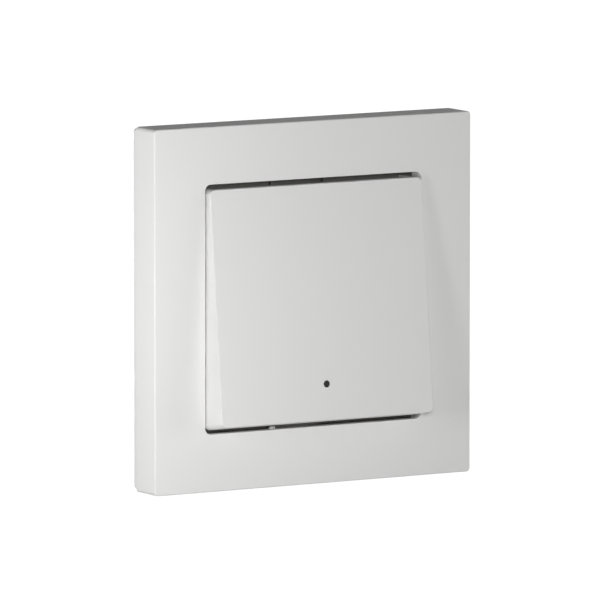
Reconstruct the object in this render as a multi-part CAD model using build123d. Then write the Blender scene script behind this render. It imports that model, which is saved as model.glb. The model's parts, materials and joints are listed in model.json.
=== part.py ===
from build123d import *
import math
import os

# A flush smart light switch: a square cover frame, one sprung rocker, a steel bracket with
# claws, and an electronic module that sits in a round wall box. Millimetres. The origin is
# the middle of the wall plane, +Y goes into the wall, +Z is up and the rocker faces -Y.

# Cover frame, one moulding
FRAME_SIZE = 85.0
FRAME_DEPTH = 10.6
FRAME_CORNER_R = 0.9
FRAME_EDGE_R = 0.35
FRAME_FACE = 2.0
FRAME_WALL = 2.0
LIP_DEPTH = 1.9
LIP_INSET = 0.5
LIP_CORNER_R = 1.0
CAVITY_CORNER_R = 0.5
OPENING = 58.1
OPENING_CORNER_R = 1.5
OPENING_EDGE_R = 0.15
RIM_WALL = 1.2
RIM_DEPTH = 2.0
COLLAR_GAP = 0.25
COLLAR_WALL = 1.2
RIB_WALL = 1.0
RIB_PLACES = (-24.0, 0.0, 24.0)
RIB_DEPTH = 3.4
LEG_WIDTH = 8.0
LEG_HEIGHT = 14.0
BARB_REACH = 0.9
SNAP_GAP = 0.1

# Rocker, a drafted hollow cap that tips about the middle of its sides
ROCKER_SIDE_GAP = 0.33
ROCKER_END_GAP = 0.98
ROCKER_DEPTH = 7.9
ROCKER_FACE = 2.0
ROCKER_WALL = 1.6
ROCKER_SIDE_DRAFT = 2.0
ROCKER_END_DRAFT = 4.5
ROCKER_CORNER_R = 1.4
ROCKER_EDGE_R = 0.2
ROCKER_TILT = 5.83
PIVOT_BEHIND_FRAME = 1.6
PIVOT_BEHIND_FACE = 5.6
PIVOT_R = 1.4
RUNNING_GAP = 0.05
ROCKER_RIB_X = 8.0
ROCKER_RIB_HEIGHT = 1.2
STOP_GAP = 0.15

# Indicator window in the rocker and the light pipe behind it
INDICATOR_UP = 8.4
INDICATOR_R = 0.82
LENS_RECESS = 0.08
LENS_FLANGE_R = 1.8
LENS_FLANGE = 1.0
FIT_GAP = 0.03
PIPE_R = 1.2
PIPE_FLANGE = 0.6
PIPE_FREE_END = 0.85
TOWER_WALL = 0.9

# Carrier, the moulding between the rocker and the module
CARRIER_OVERLAP = 1.95
CARRIER_CORNER_R = 2.0
CARRIER_THICK = 2.0
LEDGE_THICK = 1.0
NECK_DEPTH = 3.2
NECK_WALL = 1.2
NECK_GAP = 0.15
EAR_GAP = 0.6
EAR_THICK = 2.0
EAR_WALL = 1.15
TAB_WIDTH = 11.3
TAB_X = -1.85
TAB_HEIGHT = 2.4
TAB_STANDS = 3.0
NOTCH_WIDTH = 3.3
NOTCH_X = 5.35
NOTCH_HEIGHT = 5.0
SLIT_WIDTH = 0.4
SLIT_X = -7.5
NOTCH_DEPTH = 1.4
STOP_X = 10.0
STOP_FROM_BOTTOM = 4.5
STOP_FROM_TOP = 7.5
STOP_SIZE = 3.0
SCREW_NOTCH = 12.0
SCREW_NOTCH_GAP = 0.5

# Return springs, push rod and key switch
SPRING_X = 16.0
SPRING_Z = -15.0
SPRING_R = 2.3
SPRING_WIRE_R = 0.3
SPRING_LENGTH = 6.8
SPRING_TURNS = 5
SPRING_PEG = 1.2
SPRING_PEG_GAP = 0.3
SEAT_GAP = 0.05
PUSH_Z = -11.0
PUSH_R = 2.0
PUSH_HEAD_R = 2.6
PUSH_HEAD = 0.9
PUSH_STROKE_ROOM = 2.0
PUSH_COLLAR_R = 2.5
PUSH_COLLAR = 0.7
PUSH_GUIDE = 2.0
PUSH_GUIDE_WALL = 1.1
PUSH_GAP = 0.1
NOSE_R = 0.8
NOSE_WIDTH = 6.0
KEY_SIZE = 6.2
KEY_HEIGHT = 3.5
KEY_FLOOR = 0.4
KEY_STROKE_ROOM = 1.4
STEM_R = 1.7

# Steel bracket
BRACKET_THICK = 1.0
BRACKET_BEND_R = 0.9
BRACKET_CORNER_R = 4.0
BRACKET_FLANGE = 2.6
BRACKET_OPENING_GAP = 0.25
WALL_SCREW_SPACING = 60.0
WALL_SLOT_WIDTH = 4.2
WALL_SLOT_LENGTH = 8.0
WALL_SLOT_EDGE = 1.5

# Claws that spread against the wall box, one above the middle and one below
CLAW_Z = 9.0
CLAW_WIDTH = 10.0
CLAW_THICK = 1.2
CLAW_PIN_OUT = 2.2
CLAW_PIN_BACK = 3.5
CLAW_PIN_R = 1.2
CLAW_LENGTH = 14.0
CLAW_REACH = 6.6
CLAW_TEETH = 4
CLAW_TOOTH = 1.1
CLAW_SIDE_GAP = 1.0
LUG_REACH = 2.0
CLAW_SCREW_OUT = 3.3
CLAW_SCREW_R = 1.5
CLAW_SCREW_LENGTH = 22.0
CLAW_HEAD_R = 2.8
CLAW_HEAD = 2.0
HEAD_GAP = 0.2
WINDOW_ROOM = 1.2
DRIVE_WIDTH = 0.7
DRIVE_DEPTH = 0.8

# Rear housing in the wall box
HOUSING_WIDTH = 40.0
HOUSING_HEIGHT = 48.0
HOUSING_DEPTH = 25.0
HOUSING_CLIP = 7.0
HOUSING_WALL = 1.5
HOUSING_EDGE_R = 1.0
FIELD_WIDTH = 26.0
FIELD_HEIGHT = 15.0
FIELD_Z = 3.0
FIELD_DEPTH = 0.3
POST_INSET_X = 4.4
POST_INSET_Z = 8.5
POST_R = 2.8
HOUSING_SCREW_R = 1.1
HOUSING_HEAD_R = 2.0
HOUSING_HEAD = 1.6
SCREW_GAP = 0.15
SCREW_GRIP = 4.0
BOARD_REST = 1.2
BOARD_REST_HEIGHT = 5.6
DEEP_REST_HEIGHT = 2.8
DEEP_REST_Z = 9.9

# Boards and what they carry
BOARD_THICK = 1.2
BOARD_GAP = 0.3
CONTROL_FRONT_Y = 5.0
COMPONENT_ROOM = 10.3
COMPONENT_MARGIN = 2.0
COMPONENT_CORNER_R = 0.8
COMPONENT_EDGE_R = 0.5
LED_SIZE = 1.6
LED_HEIGHT = 0.6
LED_AIR = 0.1
RADIO_WIDTH = 16.0
RADIO_HEIGHT = 20.0
RADIO_THICK = 0.8
RADIO_Z = 8.0
SHIELD_WIDTH = 13.0
SHIELD_HEIGHT = 12.0
SHIELD_DEPTH = 2.0
SHIELD_WALL = 0.2
HEADER_WIDTH = 15.3
HEADER_HEIGHT = 2.5
HEADER_Z = -3.0
RELAY_SIZE = (20.0, 9.4, 10.0)
RELAY_FROM_TOP = 7.2
CORE_SIZE = (13.0, 9.0, 12.0)
CORE_Z = 1.5
CORE_LIMB = 2.6
WINDING_STANDS = 1.4
BULK_R = 4.0
BULK_LENGTH = 9.0
BULK_Z = -5.5
BULK_GROOVE = 0.3
BULK_GROOVE_WIDTH = 0.7
BULK_GROOVE_UP = 1.2
FILM_SIZE = (10.0, 8.5, 5.5)
FILM_Z = 4.75
VARISTOR_R = 3.6
VARISTOR_THICK = 3.0
VARISTOR_PLACE = (-2.5, -5.0)
VARISTOR_LEG = 0.8
FUSE_R = 1.7
FUSE_LENGTH = 8.0
FUSE_PLACE = (-1.8, 4.5)

# Terminals, a row of screw cages with square wire entries in the back
TERMINAL_COUNT = 4
CAGE_WALL = 0.5
CAGE_NUT = 1.4
CAGE_GAP = 0.2
CAGE_SIDE_GAP = 0.15
ENTRY_FUNNEL = 0.5
FUNNEL_ANGLE = 45.0
PARTITION = 0.8
PARTITION_IN_POST = 0.6
CLAMP_SCREW_R = 1.5
CLAMP_HEAD_R = 1.9
CLAMP_HEAD = 1.6
CLAMP_TRAVEL = 2.2
CLAMP_RECESS = 0.3

# Planes and sizes that follow from the values above
FRAME_FRONT_Y = -FRAME_DEPTH
FRAME_INNER_Y = FRAME_FRONT_Y + FRAME_FACE
FRAME_CAVITY = FRAME_SIZE - 2 * FRAME_WALL
LIP_FRONT_Y = -LIP_DEPTH
BRACKET_FRONT_Y = -BRACKET_THICK
CARRIER_BACK_Y = BRACKET_FRONT_Y
CARRIER_FRONT_Y = CARRIER_BACK_Y - CARRIER_THICK
LEDGE_BACK_Y = CARRIER_FRONT_Y + LEDGE_THICK
CARRIER_SIZE = OPENING + 2 * CARRIER_OVERLAP
BRACKET_SIZE = WALL_SCREW_SPACING + WALL_SLOT_LENGTH + 2 * WALL_SLOT_EDGE
PIVOT_Y = FRAME_FRONT_Y + PIVOT_BEHIND_FRAME
SIDE_SLOPE = math.tan(math.radians(ROCKER_SIDE_DRAFT))
END_SLOPE = math.tan(math.radians(ROCKER_END_DRAFT))
ROCKER_WIDTH = OPENING - 2 * ROCKER_SIDE_GAP - 2 * ROCKER_DEPTH * SIDE_SLOPE
ROCKER_HEIGHT = OPENING - 2 * ROCKER_END_GAP - 2 * ROCKER_DEPTH * END_SLOPE
TILT = math.radians(ROCKER_TILT)
EAR_OUTER = ROCKER_WIDTH / 2 + PIVOT_BEHIND_FACE * SIDE_SLOPE - ROCKER_WALL - EAR_GAP
EAR_INNER = EAR_OUTER - EAR_THICK
HOUSING_INNER_WIDTH = HOUSING_WIDTH - 2 * HOUSING_WALL
HOUSING_INNER_HEIGHT = HOUSING_HEIGHT - 2 * HOUSING_WALL
HOUSING_INNER_CLIP = HOUSING_CLIP - HOUSING_WALL * (2 - math.sqrt(2))
HOUSING_FLOOR_Y = HOUSING_DEPTH - HOUSING_WALL
CONTROL_BACK_Y = CONTROL_FRONT_Y + BOARD_THICK
POWER_BACK_Y = HOUSING_FLOOR_Y - COMPONENT_ROOM
POWER_FRONT_Y = POWER_BACK_Y - BOARD_THICK
COMPONENT_EDGE = HOUSING_INNER_WIDTH / 2 - COMPONENT_MARGIN
CORE_PLACE = (COMPONENT_EDGE - CORE_SIZE[0] / 2, CORE_Z)
BULK_PLACE = (BULK_R - COMPONENT_EDGE, BULK_Z)
FILM_PLACE = (FILM_SIZE[0] / 2 - COMPONENT_EDGE, FILM_Z)
POST_X = HOUSING_WIDTH / 2 - POST_INSET_X
POST_Z = HOUSING_HEIGHT / 2 - POST_INSET_Z
CLAW_PIN_X = HOUSING_WIDTH / 2 + CLAW_PIN_OUT
CLAW_SCREW_X = CLAW_PIN_X + CLAW_SCREW_OUT
CLAW_FLANGE_Y = CLAW_PIN_BACK + CLAW_LENGTH
LUG_NEAR = CLAW_WIDTH / 2 + CLAW_SIDE_GAP
PARTITION_SPAN = 2 * (POST_X - POST_R + PARTITION_IN_POST) - PARTITION
TERMINAL_PITCH = PARTITION_SPAN / TERMINAL_COUNT
WIRE_WAY = TERMINAL_PITCH - PARTITION - 2 * (CAGE_WALL + CAGE_SIDE_GAP)
CLAMP_HEAD_Z = CLAMP_RECESS - HOUSING_HEIGHT / 2
CAGE_BOTTOM_Z = CLAMP_HEAD_Z + CLAMP_HEAD + CLAMP_TRAVEL + HEAD_GAP
TERMINAL_Z = CAGE_BOTTOM_Z + CAGE_NUT + WIRE_WAY / 2
TERMINAL_FIRST = -TERMINAL_PITCH * (TERMINAL_COUNT - 1) / 2
TERMINAL_PLACES = [TERMINAL_FIRST + n * TERMINAL_PITCH for n in range(TERMINAL_COUNT)]
TERMINAL_Y = (POWER_BACK_Y + HOUSING_FLOOR_Y) / 2
CAGE_WIDTH = WIRE_WAY + 2 * CAGE_WALL
CAGE_TOP_Z = TERMINAL_Z + WIRE_WAY / 2 + CAGE_WALL


def slab(sketch, front, back):
    """Pulls a sketch in X and Z from the plane y = front to the plane y = back."""
    return extrude(Plane.XZ.offset(-back) * sketch, amount=back - front)


def block(x_low, x_high, y_low, y_high, z_low, z_high):
    middle = Pos((x_low + x_high) / 2, (y_low + y_high) / 2, (z_low + z_high) / 2)
    return middle * Box(x_high - x_low, y_high - y_low, z_high - z_low)


def rod_x(y, z, radius, low, high):
    return extrude(Plane.YZ.offset(low) * Pos(y, z) * Circle(radius), amount=high - low)


def rod_y(x, z, radius, front, back):
    return slab(Pos(x, z) * Circle(radius), front, back)


def rod_z(x, y, radius, low, high):
    return extrude(Plane.XY.offset(low) * Pos(x, y) * Circle(radius), amount=high - low)


def clipped(width, height, corner):
    """A rectangle with its four corners cut off at 45 degrees."""
    outline = Rectangle(width, height)
    return chamfer(outline.vertices(), corner)


def rounded(size, corner_r):
    return RectangleRounded(size, size, corner_r)


def front_edges(solid):
    return solid.faces().sort_by(Axis.Y)[0].edges()


def back_edges(solid):
    return solid.faces().sort_by(Axis.Y)[-1].edges()


def rocker_plane(depth, z, tilt):
    """The y of a plane that lies depth behind the rocker's face, at height z."""
    offset = (depth - PIVOT_BEHIND_FACE) / math.cos(tilt)
    return PIVOT_Y + offset + z * math.tan(tilt)


def rocker_point(depth, up):
    """The y and z at rest of a point given in the rocker's own depth and height."""
    behind = depth - PIVOT_BEHIND_FACE
    y = PIVOT_Y + behind * math.cos(TILT) + up * math.sin(TILT)
    return y, up * math.cos(TILT) - behind * math.sin(TILT)


def tipped(shape):
    """Moves a shape drawn flat around the pivot to the rocker's rest tilt."""
    return Pos(0, PIVOT_Y, 0) * Rot(-ROCKER_TILT, 0, 0) * shape


# Places that depend on the rocker at rest
INDICATOR_Z = INDICATOR_UP - ROCKER_HEIGHT / 2
PIPE_Z = rocker_point(ROCKER_FACE + LENS_FLANGE, INDICATOR_Z)[1]
PRESSED_LENS_Y = PIVOT_Y + ROCKER_FACE + LENS_FLANGE - PIVOT_BEHIND_FACE
PIPE_FRONT_Y = PRESSED_LENS_Y + PIPE_FREE_END
SPRING_BOSS_Y = CARRIER_FRONT_Y - SPRING_LENGTH
PUSH_GUIDE_Y = CARRIER_FRONT_Y - PUSH_GUIDE
PUSH_HEAD_BACK_Y = PUSH_GUIDE_Y - PUSH_STROKE_ROOM
PUSH_FRONT_Y = PUSH_HEAD_BACK_Y - PUSH_HEAD
PUSH_END_Y = CARRIER_BACK_Y + PUSH_GAP + PUSH_COLLAR


def make_cover_frame():
    shell = slab(rounded(FRAME_SIZE, FRAME_CORNER_R), FRAME_FRONT_Y, LIP_FRONT_Y)
    shell = fillet(front_edges(shell), FRAME_EDGE_R)
    shell -= slab(rounded(OPENING, OPENING_CORNER_R), FRAME_FRONT_Y, LIP_FRONT_Y)
    front = shell.faces().sort_by(Axis.Y)[0]
    shell = fillet(front.inner_wires()[0].edges(), OPENING_EDGE_R)
    shell += slab(rounded(FRAME_SIZE - 2 * LIP_INSET, LIP_CORNER_R), LIP_FRONT_Y, 0)
    shell -= slab(rounded(FRAME_CAVITY, CAVITY_CORNER_R), FRAME_INNER_Y, 0)
    return shell + frame_rim() + frame_collar() + frame_ribs() + frame_legs()


def frame_rim():
    """A rim behind the opening's top and sides that guides the rocker."""
    width = OPENING + 2 * RIM_WALL
    ring = rounded(width, OPENING_CORNER_R + RIM_WALL) - rounded(OPENING, OPENING_CORNER_R)
    low = OPENING_CORNER_R - OPENING / 2
    ring -= Pos(0, low - width / 2) * Rectangle(width, width)
    return slab(ring, FRAME_INNER_Y, FRAME_INNER_Y + RIM_DEPTH)


def frame_collar():
    """A wall behind the opening that centres the frame on the carrier's edge."""
    inside = CARRIER_SIZE + 2 * COLLAR_GAP
    ring = rounded(inside + 2 * COLLAR_WALL, CARRIER_CORNER_R)
    ring -= rounded(inside, CARRIER_CORNER_R)
    return slab(ring, FRAME_INNER_Y, CARRIER_FRONT_Y - COLLAR_GAP)


def frame_ribs():
    """Short ribs that tie the collar to the four side walls."""
    start = CARRIER_SIZE / 2 + COLLAR_GAP + COLLAR_WALL / 2
    reach = (FRAME_SIZE - FRAME_WALL) / 2 - start
    ribs = Sketch()
    for turn in range(4):
        for place in RIB_PLACES:
            rib = Pos(start + reach / 2, place) * Rectangle(reach, RIB_WALL)
            ribs += Rot(0, 0, 90 * turn) * rib
    return slab(ribs, FRAME_INNER_Y, FRAME_INNER_Y + RIB_DEPTH)


def frame_legs():
    """Four legs whose barbs hook behind the carrier's ledge."""
    inner = CARRIER_SIZE / 2 + COLLAR_GAP
    barb_y = LEDGE_BACK_Y + SNAP_GAP
    end_y = BRACKET_FRONT_Y - SNAP_GAP
    outline = [
        (inner + COLLAR_WALL, FRAME_INNER_Y),
        (inner, FRAME_INNER_Y),
        (inner, barb_y),
        (inner - BARB_REACH, barb_y),
        (inner, end_y),
        (inner + COLLAR_WALL, end_y),
    ]
    profile = make_face(Polyline(*outline, close=True))
    legs = []
    for height in (-LEG_HEIGHT, LEG_HEIGHT):
        base = Plane.XY.offset(height - LEG_WIDTH / 2)
        leg = extrude(base * profile, amount=LEG_WIDTH)
        legs += [leg, mirror(leg, about=Plane.YZ)]
    return legs[0] + legs[1:]


def rocker_block(inset, front, back):
    """A drafted block inside the rocker's outline, between two depths behind its face."""
    sections = []
    for depth in (front, back):
        width = ROCKER_WIDTH + 2 * depth * SIDE_SLOPE - 2 * inset
        height = ROCKER_HEIGHT + 2 * depth * END_SLOPE - 2 * inset
        outline = RectangleRounded(width, height, ROCKER_CORNER_R)
        sections.append(Plane.XZ.offset(PIVOT_BEHIND_FACE - depth) * outline)
    return loft(sections)


def make_rocker():
    cap = rocker_block(0, 0, ROCKER_DEPTH)
    cap = fillet(front_edges(cap), ROCKER_EDGE_R)
    cap -= rocker_block(ROCKER_WALL, ROCKER_FACE, ROCKER_DEPTH)
    inner_y = ROCKER_FACE - PIVOT_BEHIND_FACE
    back_y = ROCKER_DEPTH - PIVOT_BEHIND_FACE
    # The upper end is open behind the face, between the side walls
    open_half = ROCKER_WIDTH / 2 - ROCKER_WALL
    top = ROCKER_HEIGHT / 2
    cap -= block(-open_half, open_half, inner_y, back_y, top - ROCKER_WALL, top + ROCKER_WALL)
    half_rib = RIB_WALL / 2
    rib_end = top - ROCKER_WALL / 2
    rib_back = inner_y + ROCKER_RIB_HEIGHT
    rib_front = inner_y - half_rib
    for x in (-ROCKER_RIB_X, ROCKER_RIB_X):
        cap += block(x - half_rib, x + half_rib, rib_front, rib_back, -rib_end, rib_end)
    pin = rod_x(0, 0, PIVOT_R, EAR_INNER - EAR_GAP / 2, EAR_OUTER + EAR_GAP + ROCKER_WALL / 2)
    cap += [pin, mirror(pin, about=Plane.YZ)]
    hole_r = INDICATOR_R + FIT_GAP
    cap -= rod_y(0, INDICATOR_Z, hole_r, -PIVOT_BEHIND_FACE, inner_y)
    return tipped(cap) + spring_bosses() + rocker_nose()


def spring_bosses():
    """Seats under the lower half of the rocker, square to the springs."""
    root = ROCKER_FACE / 2
    peg_r = SPRING_R - SPRING_WIRE_R - SPRING_PEG_GAP
    bosses = []
    for x in (-SPRING_X, SPRING_X):
        start = rocker_plane(root, SPRING_Z, TILT)
        bosses.append(rod_y(x, SPRING_Z, SPRING_R + SPRING_WIRE_R, start, SPRING_BOSS_Y))
        bosses.append(rod_y(x, SPRING_Z, peg_r, SPRING_BOSS_Y, SPRING_BOSS_Y + SPRING_PEG))
    return bosses[0] + bosses[1:]


def rocker_nose():
    """The rib with a round tip that drives the push rod."""
    tip_y = PUSH_FRONT_Y - PUSH_GAP - NOSE_R
    start = rocker_plane(ROCKER_FACE / 2, PUSH_Z, TILT)
    half = NOSE_WIDTH / 2
    rib = block(-half, half, start, tip_y, PUSH_Z - NOSE_R, PUSH_Z + NOSE_R)
    return rib + rod_x(tip_y, PUSH_Z, NOSE_R, -half, half)


def make_indicator_lens():
    face_y = -PIVOT_BEHIND_FACE
    seat_y = face_y + ROCKER_FACE
    lens = rod_y(0, INDICATOR_Z, INDICATOR_R, face_y + LENS_RECESS, seat_y)
    lens += rod_y(0, INDICATOR_Z, LENS_FLANGE_R, seat_y, seat_y + LENS_FLANGE)
    return tipped(lens)


def neck_outline(inset):
    """The carrier's neck, which plugs into the rear housing."""
    shrink = 2 * (NECK_GAP + inset)
    clip = HOUSING_INNER_CLIP - (NECK_GAP + inset) * (2 - math.sqrt(2))
    return clipped(HOUSING_INNER_WIDTH - shrink, HOUSING_INNER_HEIGHT - shrink, clip)


def make_rocker_carrier():
    half = CARRIER_SIZE / 2
    plate = slab(rounded(CARRIER_SIZE, CARRIER_CORNER_R), CARRIER_FRONT_Y, CARRIER_BACK_Y)
    tab_top = TAB_HEIGHT - half
    for x, width in ((NOTCH_X, NOTCH_WIDTH), (SLIT_X, SLIT_WIDTH)):
        notch = Pos(x, half - NOTCH_HEIGHT / 2) * Rectangle(width, NOTCH_HEIGHT)
        plate -= slab(notch, CARRIER_FRONT_Y, CARRIER_FRONT_Y + NOTCH_DEPTH)
    tab = Pos(TAB_X, (tab_top - half) / 2) * Rectangle(TAB_WIDTH, tab_top + half)
    plate += slab(tab, CARRIER_FRONT_Y - TAB_STANDS, CARRIER_BACK_Y)
    neck = slab(neck_outline(0) - neck_outline(NECK_WALL), CARRIER_BACK_Y, NECK_DEPTH)
    pipe_room = PIPE_R + TOWER_WALL + NECK_GAP
    plate += neck - rod_y(0, PIPE_Z, pipe_room, CARRIER_BACK_Y, NECK_DEPTH)
    plate -= carrier_cuts()
    for part in carrier_towers() + carrier_ears() + carrier_posts():
        plate += part
    guide_r = PUSH_R + RUNNING_GAP
    plate -= rod_y(0, PUSH_Z, guide_r, PUSH_GUIDE_Y, CARRIER_BACK_Y)
    plate -= rod_y(0, PIPE_Z, PIPE_R + RUNNING_GAP, PIPE_FRONT_Y, CARRIER_BACK_Y)
    return plate


def carrier_cuts():
    """Notches for the wall screws, windows for the claw screws, undercuts for the barbs."""
    half = CARRIER_SIZE / 2
    cuts = Sketch()
    undercuts = Sketch()
    for side in (-1, 1):
        notch_low = EAR_OUTER + SCREW_NOTCH_GAP
        notch = Pos((notch_low + half) / 2, 0) * Rectangle(half - notch_low, SCREW_NOTCH)
        window_low = HOUSING_WIDTH / 2
        window_high = CLAW_SCREW_X + CLAW_HEAD_R + WINDOW_ROOM
        window = Pos((window_low + window_high) / 2, -CLAW_Z) * Rectangle(
            window_high - window_low, 2 * (CLAW_HEAD_R + WINDOW_ROOM)
        )
        turn = Rot(0, 0, 90 - 90 * side)
        cuts += [turn * notch, turn * window]
        reach = BARB_REACH + SNAP_GAP
        for height in (-LEG_HEIGHT, LEG_HEIGHT):
            undercut = Rectangle(reach, LEG_WIDTH + 2 * COLLAR_GAP)
            undercuts += Pos(side * (half - reach / 2), height) * undercut
    through = slab(cuts, CARRIER_FRONT_Y, CARRIER_BACK_Y)
    return through + slab(undercuts, LEDGE_BACK_Y, CARRIER_BACK_Y)


def carrier_towers():
    """The push rod's guide, the light pipe's tower, the spring pegs and the screw bosses."""
    guide = rod_y(0, PUSH_Z, PUSH_R + PUSH_GUIDE_WALL, PUSH_GUIDE_Y, CARRIER_FRONT_Y)
    tower_front = PIPE_FRONT_Y + PIPE_FREE_END
    tower = rod_y(0, PIPE_Z, PIPE_R + TOWER_WALL, tower_front, CARRIER_FRONT_Y)
    towers = [guide, tower]
    peg_r = SPRING_R - SPRING_WIRE_R - SPRING_PEG_GAP
    for x in (-SPRING_X, SPRING_X):
        towers.append(rod_y(x, SPRING_Z, peg_r, CARRIER_FRONT_Y - SPRING_PEG, CARRIER_FRONT_Y))
    boss_end = CONTROL_FRONT_Y - BOARD_GAP
    hole_r = HOUSING_SCREW_R + RUNNING_GAP
    for x, z in post_places():
        boss = rod_y(x, z, POST_R - HOUSING_WALL / 2, CARRIER_BACK_Y, boss_end)
        towers.append(boss - rod_y(x, z, hole_r, boss_end - SCREW_GRIP, boss_end))
    return towers


def carrier_ears():
    """Two ears with bearing holes for the rocker's pins."""
    radius = PIVOT_R + EAR_WALL
    outline = Pos(PIVOT_Y, 0) * Circle(radius)
    root = CARRIER_FRONT_Y - PIVOT_Y
    outline += Pos(PIVOT_Y + root / 2, 0) * Rectangle(root, 2 * radius)
    outline -= Pos(PIVOT_Y, 0) * Circle(PIVOT_R + RUNNING_GAP)
    ear = extrude(Plane.YZ.offset(EAR_INNER) * outline, amount=EAR_THICK)
    return [ear, mirror(ear, about=Plane.YZ)]


def carrier_posts():
    """Stops under the rocker: the upper pair at rest, the lower pair when it is pressed."""
    posts = []
    low = STOP_FROM_BOTTOM - ROCKER_HEIGHT / 2
    high = ROCKER_HEIGHT / 2 - STOP_FROM_TOP
    half = STOP_SIZE / 2
    rest_y = rocker_plane(ROCKER_FACE, high + half, TILT) + STOP_GAP
    pressed_y = rocker_plane(ROCKER_FACE, low, 0) + STOP_GAP
    for z, front in ((high, rest_y), (low, pressed_y)):
        for x in (-STOP_X, STOP_X):
            posts.append(block(x - half, x + half, front, CARRIER_FRONT_Y, z - half, z + half))
    return posts


def make_return_spring(x):
    height = SPRING_LENGTH - 2 * (SPRING_WIRE_R + SEAT_GAP)
    coil = Helix(pitch=height / SPRING_TURNS, height=height, radius=SPRING_R)
    profile = Plane(origin=coil @ 0, z_dir=coil % 0) * Circle(SPRING_WIRE_R)
    wire = sweep(profile, path=coil, is_frenet=True)
    seat = CARRIER_FRONT_Y - SPRING_WIRE_R - SEAT_GAP
    return Pos(x, seat, SPRING_Z) * Rot(90, 0, 0) * wire


def make_push_rod():
    rod = rod_y(0, PUSH_Z, PUSH_HEAD_R, PUSH_FRONT_Y, PUSH_HEAD_BACK_Y)
    rod += rod_y(0, PUSH_Z, PUSH_R, PUSH_HEAD_BACK_Y, PUSH_END_Y)
    collar_y = CARRIER_BACK_Y + PUSH_GAP
    return rod + rod_y(0, PUSH_Z, PUSH_COLLAR_R, collar_y, PUSH_END_Y)


def make_switch_stem():
    end = CONTROL_FRONT_Y - KEY_FLOOR - KEY_STROKE_ROOM
    return rod_y(0, PUSH_Z, STEM_R, PUSH_END_Y + PUSH_GAP, end)


def make_switch_body():
    top = CONTROL_FRONT_Y - KEY_HEIGHT
    outline = Pos(0, PUSH_Z) * rounded(KEY_SIZE, COMPONENT_CORNER_R)
    bore = rod_y(0, PUSH_Z, STEM_R + RUNNING_GAP, top, CONTROL_FRONT_Y - KEY_FLOOR)
    return slab(outline, top, CONTROL_FRONT_Y) - bore


def make_light_pipe():
    end = CONTROL_FRONT_Y - LED_HEIGHT - LED_AIR
    pipe = rod_y(0, PIPE_Z, PIPE_R, PIPE_FRONT_Y, end)
    flange_y = CARRIER_BACK_Y + SEAT_GAP
    flange = (Pos(0, PIPE_Z) * Circle(PIPE_R + TOWER_WALL)) & neck_outline(0)
    return pipe + slab(flange, flange_y, flange_y + PIPE_FLANGE)


def make_indicator_led():
    outline = Pos(0, PIPE_Z) * Rectangle(LED_SIZE, LED_SIZE)
    return slab(outline, CONTROL_FRONT_Y - LED_HEIGHT, CONTROL_FRONT_Y)


def make_mounting_bracket():
    half = BRACKET_SIZE / 2
    outline = rounded(BRACKET_SIZE, BRACKET_CORNER_R) - neck_outline(-BRACKET_OPENING_GAP)
    for side in (-1, 1):
        slot = SlotOverall(WALL_SLOT_LENGTH, WALL_SLOT_WIDTH)
        outline -= Pos(side * WALL_SCREW_SPACING / 2, 0) * slot
        outline -= Pos(0, side * WALL_SCREW_SPACING / 2) * slot
        outline -= Rot(0, 0, 90 - 90 * side) * claw_window()
    plate = slab(outline, BRACKET_FRONT_Y, 0)
    flange_front = BRACKET_FRONT_Y - BRACKET_FLANGE
    run = half - BRACKET_CORNER_R
    for side in (-1, 1):
        edge = side * half
        inner = side * (half - BRACKET_THICK)
        low, high = min(edge, inner), max(edge, inner)
        plate += block(-run, run, flange_front, 0, low, high)
    bends = plate.edges().filter_by(Axis.X).group_by(Axis.Y)[-1]
    outer = [bend for bend in bends if abs(abs(bend.center().Z) - half) < FIT_GAP]
    plate = fillet(outer, BRACKET_BEND_R)
    for side in (-1, 1):
        plate += [Rot(0, 90 - 90 * side, 0) * lug for lug in claw_lugs()]
    return plate


def claw_window():
    """The hole left by the folded lugs, with a slot for the claw's screw."""
    low = CLAW_PIN_X - LUG_REACH
    high = CLAW_PIN_X + LUG_REACH
    window = Pos((low + high) / 2, -CLAW_Z) * Rectangle(high - low, 2 * LUG_NEAR)
    width = 2 * (CLAW_SCREW_R + HEAD_GAP)
    end = CLAW_SCREW_X + width / 2
    slot = Pos((CLAW_PIN_X + end) / 2, -CLAW_Z) * SlotOverall(end - CLAW_PIN_X, width)
    return window + slot


def claw_lugs():
    """Two lugs folded back from the bracket, with holes for the claw's pin."""
    end = CLAW_PIN_BACK
    outline = Pos(CLAW_PIN_X, end) * Circle(LUG_REACH)
    start = BRACKET_FRONT_Y
    outline += Pos(CLAW_PIN_X, (start + end) / 2) * Rectangle(2 * LUG_REACH, end - start)
    outline -= Pos(CLAW_PIN_X, end) * Circle(CLAW_PIN_R + RUNNING_GAP)
    lugs = []
    for z in (-CLAW_Z - LUG_NEAR - BRACKET_THICK, -CLAW_Z + LUG_NEAR):
        lugs.append(extrude(Plane.XY.offset(z) * outline, amount=BRACKET_THICK))
    return lugs


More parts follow.
